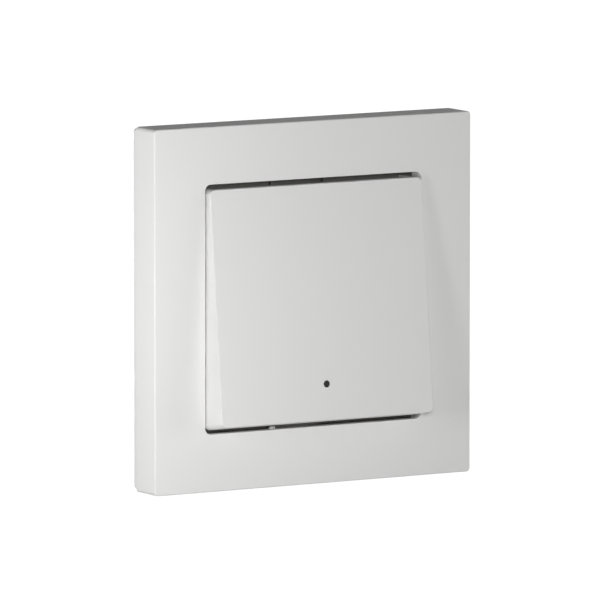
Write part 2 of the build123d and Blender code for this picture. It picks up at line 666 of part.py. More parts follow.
def make_claw():
    """The right claw: a pin in the lugs, a strip, and a toothed flange at its end."""
    pin_half = LUG_NEAR + BRACKET_THICK + HEAD_GAP
    low = -CLAW_Z - CLAW_WIDTH / 2
    inner = CLAW_PIN_X - CLAW_THICK / 2
    outline = [
        (inner, CLAW_PIN_BACK),
        (inner, CLAW_FLANGE_Y),
        (inner + CLAW_REACH, CLAW_FLANGE_Y),
        (inner + CLAW_REACH, CLAW_FLANGE_Y - CLAW_THICK),
        (inner + CLAW_THICK, CLAW_FLANGE_Y - CLAW_THICK),
        (inner + CLAW_THICK, CLAW_PIN_BACK),
    ]
    profile = make_face(Polyline(*outline, close=True))
    claw = extrude(Plane.XY.offset(low) * profile, amount=CLAW_WIDTH)
    bend = claw.edges().filter_by(Axis.Z).sort_by_distance((inner, CLAW_FLANGE_Y, -CLAW_Z))[0]
    claw = fillet(bend, CLAW_THICK)
    claw += rod_z(CLAW_PIN_X, CLAW_PIN_BACK, CLAW_PIN_R, -CLAW_Z - pin_half, -CLAW_Z + pin_half)
    hole_r = CLAW_SCREW_R + RUNNING_GAP
    claw -= rod_y(CLAW_SCREW_X, -CLAW_Z, hole_r, CLAW_FLANGE_Y - CLAW_THICK, CLAW_FLANGE_Y)
    return claw - claw_tooth_gaps(inner + CLAW_REACH, low)


def claw_tooth_gaps(tip_x, low):
    """The notches between the teeth on the flange's outer edge."""
    pitch = CLAW_WIDTH / CLAW_TEETH
    notches = Sketch()
    for n in range(CLAW_TEETH + 1):
        z = low + n * pitch
        corners = [(tip_x, z - pitch / 2), (tip_x, z + pitch / 2), (tip_x - CLAW_TOOTH, z)]
        notches += make_face(Polyline(*corners, close=True))
    return slab(notches, CLAW_FLANGE_Y - CLAW_THICK, CLAW_FLANGE_Y)


def make_claw_screw():
    """The right claw's screw, which tilts with the claw."""
    head_back = BRACKET_FRONT_Y - HEAD_GAP
    head_front = head_back - CLAW_HEAD
    x, z = CLAW_SCREW_X, -CLAW_Z
    head = rod_y(x, z, CLAW_HEAD_R, head_front, head_back)
    head = fillet(front_edges(head), CLAW_HEAD / 2)
    screw = head + rod_y(x, z, CLAW_SCREW_R, head_back, head_back + CLAW_SCREW_LENGTH)
    for width, height in ((DRIVE_WIDTH, CLAW_SCREW_R * 2), (CLAW_SCREW_R * 2, DRIVE_WIDTH)):
        recess = Pos(x, z) * Rectangle(width, height)
        screw -= slab(recess, head_front, head_front + DRIVE_DEPTH)
    return screw


def left_of(shape):
    """The left claw and screw are the right ones turned half a turn about Y."""
    return Rot(0, 180, 0) * shape


def post_places():
    return [(x, z) for x in (-POST_X, POST_X) for z in (-POST_Z, POST_Z)]


def make_rear_housing():
    outer = clipped(HOUSING_WIDTH, HOUSING_HEIGHT, HOUSING_CLIP)
    inner = clipped(HOUSING_INNER_WIDTH, HOUSING_INNER_HEIGHT, HOUSING_INNER_CLIP)
    body = slab(outer, 0, HOUSING_DEPTH)
    body = fillet(back_edges(body), HOUSING_EDGE_R)
    body -= slab(inner, 0, HOUSING_FLOOR_Y)
    field = Pos(0, FIELD_Z) * RectangleRounded(FIELD_WIDTH, FIELD_HEIGHT, HOUSING_EDGE_R)
    body -= slab(field, HOUSING_DEPTH - FIELD_DEPTH, HOUSING_DEPTH)
    for x, z in post_places():
        post = rod_y(x, z, POST_R, CONTROL_BACK_Y + BOARD_GAP, HOUSING_DEPTH)
        body += post & slab(outer, 0, HOUSING_FLOOR_Y)
        body -= rod_y(x, z, HOUSING_SCREW_R + SCREW_GAP, 0, HOUSING_DEPTH)
        head_y = HOUSING_DEPTH - HOUSING_HEAD
        body -= rod_y(x, z, HOUSING_HEAD_R + SCREW_GAP, head_y, HOUSING_DEPTH)
    body += board_rests()
    body += terminal_partitions()
    entry = WIRE_WAY + 2 * ENTRY_FUNNEL
    for x in TERMINAL_PLACES:
        way = Pos(x, TERMINAL_Z) * Rectangle(WIRE_WAY, WIRE_WAY)
        body -= slab(way, HOUSING_FLOOR_Y, HOUSING_DEPTH)
        mouth = Pos(x, TERMINAL_Z) * Rectangle(entry, entry)
        body -= extrude(Plane.XZ.offset(-HOUSING_DEPTH) * mouth, amount=ENTRY_FUNNEL, taper=FUNNEL_ANGLE)
        hole_r = CLAMP_HEAD_R + CAGE_GAP
        body -= rod_z(x, TERMINAL_Y, hole_r, -HOUSING_HEIGHT / 2, -HOUSING_INNER_HEIGHT / 2)
    return body


def board_rests():
    """Ledges on the side walls that the two boards rest on."""
    rests = Sketch()
    deep_rests = Sketch()
    half = HOUSING_INNER_WIDTH / 2
    width = BOARD_REST + HOUSING_WALL / 2
    for side in (-1, 1):
        x = side * (half - BOARD_REST + width / 2)
        rests += Pos(x, 0) * Rectangle(width, BOARD_REST_HEIGHT)
        for z in (-DEEP_REST_Z, DEEP_REST_Z):
            deep_rests += Pos(x, z) * Rectangle(width, DEEP_REST_HEIGHT)
    return slab(rests, CONTROL_BACK_Y, HOUSING_FLOOR_Y) + slab(
        deep_rests, POWER_BACK_Y, HOUSING_FLOOR_Y
    )


def terminal_partitions():
    """Thin walls that keep the terminals apart."""
    walls = Sketch()
    top = CAGE_TOP_Z + PARTITION
    bottom = -HOUSING_INNER_HEIGHT / 2 - HOUSING_WALL / 2
    for n in range(TERMINAL_COUNT + 1):
        x = TERMINAL_FIRST + (n - 0.5) * TERMINAL_PITCH
        walls += Pos(x, (top + bottom) / 2) * Rectangle(PARTITION, top - bottom)
    return slab(walls, POWER_BACK_Y + BOARD_GAP, HOUSING_FLOOR_Y)


def make_housing_screws():
    screws = []
    start = CONTROL_FRONT_Y - BOARD_GAP - SCREW_GRIP
    for x, z in post_places():
        head_y = HOUSING_DEPTH - HOUSING_HEAD
        screw = rod_y(x, z, HOUSING_HEAD_R, head_y, HOUSING_DEPTH)
        screw += rod_y(x, z, HOUSING_SCREW_R, start, head_y)
        for width, height in ((DRIVE_WIDTH, HOUSING_HEAD_R), (HOUSING_HEAD_R, DRIVE_WIDTH)):
            recess = Pos(x, z) * Rectangle(width, height)
            screw -= slab(recess, HOUSING_DEPTH - DRIVE_DEPTH, HOUSING_DEPTH)
        screws.append(screw)
    return Compound(screws)


def board_outline():
    """A board that fills the housing, clear of its walls and screw posts."""
    clip = HOUSING_INNER_CLIP - BOARD_GAP * (2 - math.sqrt(2))
    width = HOUSING_INNER_WIDTH - 2 * BOARD_GAP
    outline = clipped(width, HOUSING_INNER_HEIGHT - 2 * BOARD_GAP, clip)
    for x, z in post_places():
        outline -= Pos(x, z) * Circle(POST_R + BOARD_GAP)
    return outline


def make_control_board():
    return slab(board_outline(), CONTROL_FRONT_Y, CONTROL_BACK_Y)


def make_power_board():
    outline = board_outline()
    notch = BOARD_REST + BOARD_GAP
    for side in (-1, 1):
        x = side * (HOUSING_INNER_WIDTH - notch) / 2
        outline -= Pos(x, 0) * Rectangle(notch, BOARD_REST_HEIGHT + 2 * BOARD_GAP)
    return slab(outline, POWER_FRONT_Y, POWER_BACK_Y)


def make_radio_board():
    outline = Pos(0, RADIO_Z) * Rectangle(RADIO_WIDTH, RADIO_HEIGHT)
    return slab(outline, CONTROL_FRONT_Y - RADIO_THICK, CONTROL_FRONT_Y)


def make_radio_shield():
    top = CONTROL_FRONT_Y - RADIO_THICK - SHIELD_DEPTH
    base = CONTROL_FRONT_Y - RADIO_THICK
    z = RADIO_Z - (RADIO_HEIGHT - SHIELD_HEIGHT) / 2 + SHIELD_WALL
    outline = RectangleRounded(SHIELD_WIDTH, SHIELD_HEIGHT, COMPONENT_CORNER_R)
    can = slab(Pos(0, z) * outline, top, base)
    can = fillet(front_edges(can), SHIELD_WALL * 2)
    inside = offset(outline, -SHIELD_WALL)
    return can - slab(Pos(0, z) * inside, top + SHIELD_WALL * 2, base)


def make_board_header():
    outline = Pos(0, HEADER_Z) * Rectangle(HEADER_WIDTH, HEADER_HEIGHT)
    return slab(outline, CONTROL_BACK_Y, POWER_FRONT_Y)


def on_power_board(sketch, depth):
    """A piece that stands on the back of the power board."""
    return slab(sketch, POWER_BACK_Y, POWER_BACK_Y + depth)


def make_relay():
    width, depth, height = RELAY_SIZE
    place = Pos(0, HOUSING_HEIGHT / 2 - RELAY_FROM_TOP)
    relay = on_power_board(place * RectangleRounded(width, height, COMPONENT_CORNER_R), depth)
    return fillet(back_edges(relay), COMPONENT_EDGE_R)


def make_transformer_core():
    width, depth, height = CORE_SIZE
    frame = Rectangle(width, height)
    for side in (-1, 1):
        gap = (width - 3 * CORE_LIMB) / 2
        x = side * (CORE_LIMB + gap) / 2
        frame -= Pos(x, 0) * Rectangle(gap, height - 2 * CORE_LIMB)
    place = Pos(*CORE_PLACE)
    return slab(
        place * frame, POWER_BACK_Y + WINDING_STANDS, POWER_BACK_Y + depth - WINDING_STANDS
    )


def make_transformer_winding():
    width, depth, height = CORE_SIZE
    outline = Rectangle(width - 2 * CORE_LIMB, height - 2 * CORE_LIMB)
    outline = offset(outline, -RUNNING_GAP, kind=Kind.INTERSECTION)
    limb = Rectangle(CORE_LIMB + 2 * RUNNING_GAP, height - 2 * CORE_LIMB)
    place = Pos(*CORE_PLACE)
    core_front = POWER_BACK_Y + WINDING_STANDS
    core_back = POWER_BACK_Y + depth - WINDING_STANDS
    winding = slab(place * outline, POWER_BACK_Y, POWER_BACK_Y + depth)
    return winding - slab(place * limb, core_front - RUNNING_GAP, core_back + RUNNING_GAP)


def make_bulk_capacitor():
    can = on_power_board(Pos(*BULK_PLACE) * Circle(BULK_R), BULK_LENGTH)
    can = fillet(back_edges(can), COMPONENT_EDGE_R)
    groove_y = POWER_BACK_Y + BULK_GROOVE_UP
    ring = Circle(BULK_R) - Circle(BULK_R - BULK_GROOVE)
    return can - slab(Pos(*BULK_PLACE) * ring, groove_y, groove_y + BULK_GROOVE_WIDTH)


def make_film_capacitor():
    width, depth, height = FILM_SIZE
    box = on_power_board(Pos(*FILM_PLACE) * Rectangle(width, height), depth)
    return chamfer(back_edges(box), COMPONENT_EDGE_R)


def make_varistor():
    x, z = VARISTOR_PLACE
    half = VARISTOR_THICK / 2
    middle_y = POWER_BACK_Y + VARISTOR_LEG + VARISTOR_R
    disc = rod_x(middle_y, z, VARISTOR_R, x - half, x + half)
    disc = fillet(disc.edges().filter_by(GeomType.CIRCLE), half / 2)
    for side in (-1, 1):
        leg_z = z + side * VARISTOR_R / 2
        disc += rod_y(x, leg_z, VARISTOR_LEG / 2, POWER_BACK_Y, middle_y)
    return disc


def make_fuse_resistor():
    body = on_power_board(Pos(*FUSE_PLACE) * Circle(FUSE_R), FUSE_LENGTH)
    return fillet(back_edges(body), FUSE_R / 2)


def make_terminal_cages():
    cages = []
    front = POWER_BACK_Y
    back = HOUSING_FLOOR_Y - CAGE_GAP
    for x in TERMINAL_PLACES:
        half = CAGE_WIDTH / 2
        cage = block(x - half, x + half, front, back, CAGE_BOTTOM_Z, CAGE_TOP_Z)
        way = Pos(x, TERMINAL_Z) * Rectangle(WIRE_WAY, WIRE_WAY)
        cage -= slab(way, front + CAGE_WALL, back)
        hole_r = CLAMP_SCREW_R + RUNNING_GAP
        cage -= rod_z(x, TERMINAL_Y, hole_r, CAGE_BOTTOM_Z, TERMINAL_Z)
        cages.append(cage)
    return Compound(cages)


def make_terminal_screw(x):
    y = TERMINAL_Y
    tip = TERMINAL_Z - WIRE_WAY / 2
    head_top = CLAMP_HEAD_Z + CLAMP_HEAD
    screw = rod_z(x, y, CLAMP_HEAD_R, CLAMP_HEAD_Z, head_top)
    screw += rod_z(x, y, CLAMP_SCREW_R, head_top, tip)
    half = CLAMP_HEAD_R
    slot_top = CLAMP_HEAD_Z + DRIVE_DEPTH
    return screw - block(
        x - half, x + half, y - DRIVE_WIDTH / 2, y + DRIVE_WIDTH / 2, CLAMP_HEAD_Z, slot_top
    )


def make_all():
    nodes = {
        "cover_frame": make_cover_frame(),
        "rocker": make_rocker(),
        "indicator_lens": make_indicator_lens(),
        "rocker_carrier": make_rocker_carrier(),
        "return_spring_left": make_return_spring(-SPRING_X),
        "return_spring_right": make_return_spring(SPRING_X),
        "push_rod": make_push_rod(),
        "switch_stem": make_switch_stem(),
        "switch_body": make_switch_body(),
        "light_pipe": make_light_pipe(),
        "indicator_led": make_indicator_led(),
        "mounting_bracket": make_mounting_bracket(),
        "right_claw": make_claw(),
        "left_claw": left_of(make_claw()),
        "right_claw_screw": make_claw_screw(),
        "left_claw_screw": left_of(make_claw_screw()),
        "rear_housing": make_rear_housing(),
        "housing_screws": make_housing_screws(),
        "control_board": make_control_board(),
        "power_board": make_power_board(),
        "radio_board": make_radio_board(),
        "radio_shield": make_radio_shield(),
        "board_header": make_board_header(),
        "relay": make_relay(),
        "transformer_core": make_transformer_core(),
        "transformer_winding": make_transformer_winding(),
        "bulk_capacitor": make_bulk_capacitor(),
        "film_capacitor": make_film_capacitor(),
        "varistor": make_varistor(),
        "fuse_resistor": make_fuse_resistor(),
        "terminal_cages": make_terminal_cages(),
    }
    for number, x in enumerate(TERMINAL_PLACES, start=1):
        nodes[f"terminal_screw_{number}"] = make_terminal_screw(x)
    return nodes


os.makedirs("parts", exist_ok=True)
for name, shape in make_all().items():
    export_step(shape, f"parts/{name}.step")
    print(name, len(shape.solids()), "solid", round(shape.volume, 1), "mm3")
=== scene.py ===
# %% [markdown]
# # A flush smart light switch
# The switch is a square white cover frame around one large sprung rocker, with a small
# indicator window near the rocker's lower edge. Behind the wall line sit a steel bracket with
# two claws and a boxed electronic module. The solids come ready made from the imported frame, in
# metres, so this lesson is about what a camera sees: finishes, fine pieces, light and lens.

# %% Load the fixed frame
import json
import math

import bmesh
import bpy
from mathutils import Matrix, Vector


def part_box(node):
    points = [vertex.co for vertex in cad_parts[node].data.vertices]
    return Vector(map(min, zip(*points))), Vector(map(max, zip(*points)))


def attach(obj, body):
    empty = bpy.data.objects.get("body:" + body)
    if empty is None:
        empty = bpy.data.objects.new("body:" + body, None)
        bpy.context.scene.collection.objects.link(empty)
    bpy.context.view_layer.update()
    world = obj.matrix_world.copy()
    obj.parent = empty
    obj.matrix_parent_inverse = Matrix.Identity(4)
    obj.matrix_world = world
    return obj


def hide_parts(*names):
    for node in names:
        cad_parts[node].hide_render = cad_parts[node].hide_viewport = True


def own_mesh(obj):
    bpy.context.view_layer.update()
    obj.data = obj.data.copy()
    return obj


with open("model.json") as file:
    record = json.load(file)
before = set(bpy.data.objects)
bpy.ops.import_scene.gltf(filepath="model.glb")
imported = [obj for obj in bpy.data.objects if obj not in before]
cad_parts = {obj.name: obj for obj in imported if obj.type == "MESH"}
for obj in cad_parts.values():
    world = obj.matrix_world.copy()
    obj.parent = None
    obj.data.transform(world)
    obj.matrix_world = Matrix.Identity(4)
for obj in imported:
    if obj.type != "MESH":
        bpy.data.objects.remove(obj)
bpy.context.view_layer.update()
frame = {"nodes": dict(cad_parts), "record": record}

MM = 0.001
nodes = frame["nodes"]
scene = bpy.context.scene
scene.view_settings.view_transform = "Standard"

# %% [markdown]
# ## The camera
# The photograph was taken from far away with a very long lens, from a third of a right angle
# to the left and a little above. A long lens keeps the switch's parallel edges parallel. The
# camera could be placed by eye, but the corners of the frame give its angles exactly, so the
# numbers below are the ones that were worked out from those corners.

# %% Place the camera
YAW = math.radians(30.36)
PITCH = math.radians(6.91)
DISTANCE = 2479.4 * MM
AIM = Vector((1.3475, -1.9, -0.3841)) * MM
SENSOR_MM = 36.0
FOCAL_PIXELS = 10646.5
IMAGE_PIXELS = 600

ahead = Vector((math.sin(YAW), math.cos(YAW), 0)) * math.cos(PITCH) - Vector((0, 0, math.sin(PITCH)))
camera = bpy.data.objects.new("camera", bpy.data.cameras.new("camera"))
camera.data.sensor_width = SENSOR_MM
camera.data.lens = SENSOR_MM * FOCAL_PIXELS / IMAGE_PIXELS
camera.location = AIM - ahead * DISTANCE
camera.rotation_euler = ahead.to_track_quat("-Z", "Y").to_euler()
scene.collection.objects.link(camera)
scene.camera = camera
print("lens in mm:", round(camera.data.lens, 1))

# %% [markdown]
# ## Helpers for materials
# Every finish below is a node tree. Colours are written as the hex values that a paint chart
# would give, and one function turns them to the linear light that a renderer adds up. One
# small function adds a node, sets its values, joins its inputs and gives back an output, so
# that a tree reads from top to bottom like a recipe. Patterns use the object's own place in
# metres, so a grain keeps its real size and moves with its piece.

# %% Colours in linear light
def linear(hex_colour):
    """Turns an sRGB hex colour to linear red, green, blue and alpha."""
    channels = [int(hex_colour[n:n + 2], 16) / 255 for n in (1, 3, 5)]
    return [c / 12.92 if c <= 0.04045 else ((c + 0.055) / 1.055) ** 2.4 for c in channels] + [1.0]


print("the grey #808080 in linear light:", round(linear("#808080")[0], 3))


# %% Node helpers
def tune(tree, node, settings=(), links=()):
    """Sets a node's properties and sockets, and links other nodes' outputs to its inputs."""
    sockets = {socket.identifier: socket for socket in node.inputs}
    for name, value in dict(settings).items():
        if name in sockets:
            sockets[name].default_value = value
        else:
            setattr(node, name, value)
    for name, source in dict(links).items():
        tree.links.new(source, sockets[name])
    return node


def add(tree, kind, settings=(), links=(), out=None):
    """Adds a node and gives back the named output, or the node itself."""
    node = tune(tree, tree.nodes.new("ShaderNode" + kind), settings, links)
    return {socket.identifier: socket for socket in node.outputs}.get(out, node)


def per_mm(size):
    """The scale that gives a pattern this size in millimetres."""
    return 1 / (size * MM)


print("scale of a grain of 0.1 mm:", round(per_mm(0.1)))

# %% Finishes and the slots they go on
slot_nodes = {}
for part in frame["record"]["subparts"]:
    slot_nodes.setdefault(part["material_slot"], []).append(part["node"])
finishes = {}


def start_finish(name):
    """A new material with its tree, its shader and a place on the object in metres."""
    material = bpy.data.materials.new(name)
    material.use_nodes = True
    tree = material.node_tree
    return material, tree, tree.nodes["Principled BSDF"], add(tree, "TexCoord", out="Object")


def dress(material, slot):
    """Puts a finish on the CAD nodes of one slot, and keeps it for pieces added later."""
    finishes[slot] = material
    for name in slot_nodes[slot]:
        for holder in nodes[name].material_slots:
            holder.material = material
    print(material.name, "on", ", ".join(slot_nodes[slot]))


print("slots to dress:", len(slot_nodes))

# %% [markdown]
# ## Moulded white ABS
# Frame and rocker are injection moulded from white ABS in a tool with a fine spark-eroded
# texture. The eye sees a clean neutral white with a soft sheen: broad, blurred reflections and
# faint bright lines on the rounded edges. The grain is far below a pixel, so the gloss comes
# from roughness, and the grain is only a breath of bump.

# %% White ABS
material, tree, shader, place = start_finish("moulded_white_abs")
grain = add(tree, "TexNoise", {"Scale": per_mm(0.12), "Detail": 2.0}, {"Vector": place}, "Fac")
flow = add(tree, "TexNoise", {"Scale": per_mm(30.0), "Detail": 1.0}, {"Vector": place}, "Fac")
colour = add(
    tree, "Mix",
    {"data_type": "RGBA", "A_Color": linear("#EAEAE9"), "B_Color": linear("#ECECEB")},
    {"Factor_Float": flow}, "Result_Color",
)
gloss = add(tree, "MapRange", {"To Min": 0.68, "To Max": 0.74}, {"Value": flow}, "Result")
bump = add(tree, "Bump", {"Strength": 0.15, "Distance": 0.002 * MM}, {"Height": grain}, "Normal")
tune(tree, shader, {"IOR": 1.53}, {"Base Color": colour, "Roughness": gloss, "Normal": bump})
dress(material, "white_plastic")

# %% [markdown]
# ## Smoked polycarbonate
# The indicator window is a peg of smoked polycarbonate, polished and set a little below the
# rocker's face. With its light off it swallows nearly everything, so it reads as a black dot
# with hardly a glint. A glass shader would do the same at a much higher cost, so it is a dark
# glossy body with faint clouds in the tint. Bare polycarbonate has an IOR of 1.58, and a lower
# one stands for the coat that keeps the white studio from showing in it.

# %% Smoked lens
material, tree, shader, place = start_finish("smoked_polycarbonate")
cloud = add(tree, "TexNoise", {"Scale": per_mm(0.6), "Detail": 1.0}, {"Vector": place}, "Fac")
colour = add(
    tree, "Mix",
    {"data_type": "RGBA", "A_Color": linear("#0F1011"), "B_Color": linear("#17181A")},
    {"Factor_Float": cloud}, "Result_Color",
)
gloss = add(tree, "MapRange", {"To Min": 0.10, "To Max": 0.18}, {"Value": cloud}, "Result")
tune(tree, shader, {"IOR": 1.42}, {"Base Color": colour, "Roughness": gloss})
dress(material, "smoked_lens")

# %% [markdown]
# ## Grey glass-filled polyamide
# The carrier behind the rocker is moulded from polyamide with glass fibre, which flows into
# faint streaks and leaves a dry, slightly mottled skin. It only shows in the gaps around the
# rocker, where the shade makes it a warm dark grey.

# %% Carrier polyamide
material, tree, shader, place = start_finish("moulded_grey_polyamide")
stretch = add(tree, "Mapping", {"Scale": (1.0, 1.0, 0.2)}, {"Vector": place}, "Vector")
fibre = add(tree, "TexNoise", {"Scale": per_mm(0.3), "Detail": 3.0}, {"Vector": stretch}, "Fac")
colour = add(
    tree, "Mix",
    {"data_type": "RGBA", "A_Color": linear("#7B7A76"), "B_Color": linear("#8A8984")},
    {"Factor_Float": fibre}, "Result_Color",
)
gloss = add(tree, "MapRange", {"To Min": 0.48, "To Max": 0.62}, {"Value": fibre}, "Result")
bump = add(tree, "Bump", {"Strength": 0.3, "Distance": 0.006 * MM}, {"Height": fibre}, "Normal")
tune(tree, shader, {"IOR": 1.53}, {"Base Color": colour, "Roughness": gloss, "Normal": bump})
dress(material, "grey_plastic")

# %% [markdown]
# ## Small plastics
# The push rod is natural acetal, a waxy off-white that lets a little light in, and the unlit
# body of the indicator looks the same. The key switch, its stem and the board header are black
# PBT with a dull eroded skin. The light pipe is polished clear acrylic, so it needs real
# transmission and its own refraction.

# %% Natural acetal
material, tree, shader, place = start_finish("natural_acetal")
wax = add(tree, "TexNoise", {"Scale": per_mm(1.5), "Detail": 2.0}, {"Vector": place}, "Fac")
colour = add(
    tree, "Mix",
    {"data_type": "RGBA", "A_Color": linear("#E3E0D4"), "B_Color": linear("#EDEBE2")},
    {"Factor_Float": wax}, "Result_Color",
)
gloss = add(tree, "MapRange", {"To Min": 0.30, "To Max": 0.42}, {"Value": wax}, "Result")
tune(
    tree, shader,
    {"IOR": 1.48, "Subsurface Weight": 0.15, "Subsurface Scale": 0.5 * MM},
    {"Base Color": colour, "Roughness": gloss},
)
dress(material, "light_plastic")

# %% Black PBT
material, tree, shader, place = start_finish("moulded_black_pbt")
pits = add(tree, "TexNoise", {"Scale": per_mm(0.15), "Detail": 2.0}, {"Vector": place}, "Fac")
colour = add(
    tree, "Mix",
    {"data_type": "RGBA", "A_Color": linear("#18181A"), "B_Color": linear("#232326")},
    {"Factor_Float": pits}, "Result_Color",
)
gloss = add(tree, "MapRange", {"To Min": 0.45, "To Max": 0.6}, {"Value": pits}, "Result")
bump = add(tree, "Bump", {"Strength": 0.3, "Distance": 0.004 * MM}, {"Height": pits}, "Normal")
tune(tree, shader, {"IOR": 1.55}, {"Base Color": colour, "Roughness": gloss, "Normal": bump})
dress(material, "black_plastic")

# %% Clear acrylic
material, tree, shader, place = start_finish("polished_clear_acrylic")
swirl = add(tree, "TexNoise", {"Scale": per_mm(2.0), "Detail": 1.0}, {"Vector": place}, "Fac")
colour = add(
    tree, "Mix",
    {"data_type": "RGBA", "A_Color": linear("#EAF1F2"), "B_Color": linear("#F4F7F7")},
    {"Factor_Float": swirl}, "Result_Color",
)
gloss = add(tree, "MapRange", {"To Min": 0.02, "To Max": 0.08}, {"Value": swirl}, "Result")
tune(
    tree, shader,
    {"IOR": 1.49, "Transmission Weight": 1.0}, {"Base Color": colour, "Roughness": gloss},
)
dress(material, "clear_plastic")

# %% [markdown]
# ## Pressed steel in hot-dipped zinc
# Bracket and claws are punched from rolled strip that went through a bath of molten zinc. The
# eye sees a cool grey metal with fine rolling lines and a soft spangle of frozen crystals.
# Rolling lines are only a few hundredths of a millimetre wide, so they are drawn three times
# as coarse to show at all.

# %% Plated strip
material, tree, shader, place = start_finish("hot_dipped_zinc_strip_steel")
along = add(tree, "Mapping", {"Scale": (0.04, 1.0, 1.0)}, {"Vector": place}, "Vector")
rolled = add(tree, "TexNoise", {"Scale": per_mm(0.15), "Detail": 3.0}, {"Vector": along}, "Fac")
crystal = add(
    tree, "TexVoronoi", {"Scale": per_mm(1.6), "Randomness": 1.0}, {"Vector": place}, "Color"
)
mottle = add(tree, "RGBToBW", {}, {"Color": crystal}, "Val")
colour = add(
    tree, "Mix",
    {"data_type": "RGBA", "A_Color": linear("#A9ADB0"), "B_Color": linear("#BCC0C2")},
    {"Factor_Float": mottle}, "Result_Color",
)
worn = add(
    tree, "Math", {"operation": "MULTIPLY_ADD", "Value_001": 0.5},
    {"Value": mottle, "Value_002": rolled}, "Value",
)
gloss = add(
    tree, "MapRange", {"From Max": 1.5, "To Min": 0.28, "To Max": 0.50}, {"Value": worn}, "Result"
)
bump = add(tree, "Bump", {"Strength": 0.25, "Distance": 0.003 * MM}, {"Height": rolled}, "Normal")
tune(tree, shader, {"Metallic": 1.0}, {"Base Color": colour, "Roughness": gloss, "Normal": bump})
dress(material, "zinc_steel")

# %% [markdown]
# ## Plated screws, spring wire, brass and tinned sheet
# The screws are cold headed, rolled and zinc plated, brighter than the strip. The springs are
# drawn stainless wire with fine die lines. The terminal cages are folded brass, and the radio
# shield is drawn from tinned sheet with soft handling smears. All are metals, so they keep the
# default IOR and differ in colour and in how far the reflection is blurred.

# %% Other metals
# Each row: finish, dull and bright colour, pattern size in mm, least and most roughness.
METALS = {
    "zinc_screw": ("zinc_plated_screw_steel", "#C6CACE", "#D6D9DB", 0.5, 0.18, 0.34),
    "spring_steel": ("drawn_stainless_wire", "#B8B6B1", "#CBC9C4", 0.1, 0.16, 0.30),
    "brass": ("folded_brass", "#C9A557", "#DDBB70", 0.8, 0.20, 0.38),
    "tinned_steel": ("tinned_drawn_sheet", "#CFCEC9", "#DEDDD8", 3.0, 0.16, 0.40),
}
for slot, (name, dull, bright, size, smooth, rough) in METALS.items():
    material, tree, shader, place = start_finish(name)
    smear = add(tree, "TexNoise", {"Scale": per_mm(size), "Detail": 3.0}, {"Vector": place}, "Fac")
    colour = add(
        tree, "Mix", {"data_type": "RGBA", "A_Color": linear(dull), "B_Color": linear(bright)},
        {"Factor_Float": smear}, "Result_Color",
    )
    gloss = add(tree, "MapRange", {"To Min": smooth, "To Max": rough}, {"Value": smear}, "Result")
    bump = add(tree, "Bump", {"Strength": 0.1, "Distance": 0.004 * MM}, {"Height": smear}, "Normal")
    tune(tree, shader, {"Metallic": 1.0}, {"Base Color": colour, "Roughness": gloss, "Normal": bump})
    dress(material, slot)

# %% [markdown]
# ## Dark polyamide housing
# The box that goes into the wall is dark grey polyamide from a tool with a coarse eroded
# texture, which hides handling marks. The grain is about a quarter of a millimetre, wide enough
# to show, so it gets a real bump as well as uneven gloss.

# %% Housing polyamide
material, tree, shader, place = start_finish("eroded_dark_polyamide")
grain = add(tree, "TexVoronoi", {"Scale": per_mm(0.28)}, {"Vector": place}, "Distance")
cloud = add(tree, "TexNoise", {"Scale": per_mm(8.0), "Detail": 2.0}, {"Vector": place}, "Fac")
colour = add(
    tree, "Mix",
    {"data_type": "RGBA", "A_Color": linear("#3B3D41"), "B_Color": linear("#45474B")},
    {"Factor_Float": cloud}, "Result_Color",
)
gloss = add(tree, "MapRange", {"To Min": 0.46, "To Max": 0.62}, {"Value": grain}, "Result")
bump = add(tree, "Bump", {"Strength": 0.35, "Distance": 0.012 * MM}, {"Height": grain}, "Normal")
tune(tree, shader, {"IOR": 1.53}, {"Base Color": colour, "Roughness": gloss, "Normal": bump})
dress(material, "dark_plastic")

# %% [markdown]
# ## Circuit boards
# The boards are glass laminate under lacquer: green on the two main boards and black on the
# radio board. Copper tracks under the lacquer show as a lighter shade, and the sawn edges show
# the bare straw-coloured laminate. A brick pattern turned into the board's plane draws tracks
# at a real pitch of 1.27 mm. Its sizes are in millimetres, because its scale is one to each.

# %% Lacquered laminate
TRACK_PITCH = 1.27
TRACK_RUN = 7.0
TRACK_WIDTH = 0.25
BARE_LAMINATE = "#A8965C"
LACQUERS = {
    "board_laminate": ("green_lacquered_laminate", "#0E4A2B", "#1C6A3E"),
    "radio_laminate": ("black_lacquered_laminate", "#14161A", "#252A30"),
}
for slot, (name, lacquer, track) in LACQUERS.items():
    material, tree, shader, place = start_finish(name)
    flat = add(tree, "Mapping", {"Rotation": (math.radians(90), 0, 0)}, {"Vector": place}, "Vector")
    tracks = add(
        tree, "TexBrick",
        {
            "Scale": per_mm(1.0), "Brick Width": TRACK_RUN, "Row Height": TRACK_PITCH,
            "Mortar Size": TRACK_WIDTH / 2, "Color1": linear(lacquer), "Color2": linear(lacquer),
            "Mortar": linear(track),
        },
        {"Vector": flat},
    )
    lean = add(tree, "SeparateXYZ", {}, {"Vector": place.node.outputs["Normal"]}, "Y")
    facing = add(tree, "Math", {"operation": "ABSOLUTE"}, {"Value": lean}, "Value")
    colour = add(
        tree, "Mix", {"data_type": "RGBA", "A_Color": linear(BARE_LAMINATE)},
        {"Factor_Float": facing, "B_Color": tracks.outputs["Color"]}, "Result_Color",
    )
    gloss = add(tree, "MapRange", {"To Min": 0.8, "To Max": 0.3}, {"Value": facing}, "Result")
    bump = add(
        tree, "Bump", {"Strength": 0.5, "Distance": 0.03 * MM},
        {"Height": tracks.outputs["Fac"]}, "Normal",
    )
    tune(tree, shader, {"IOR": 1.55}, {"Base Color": colour, "Roughness": gloss, "Normal": bump})
    dress(material, slot)

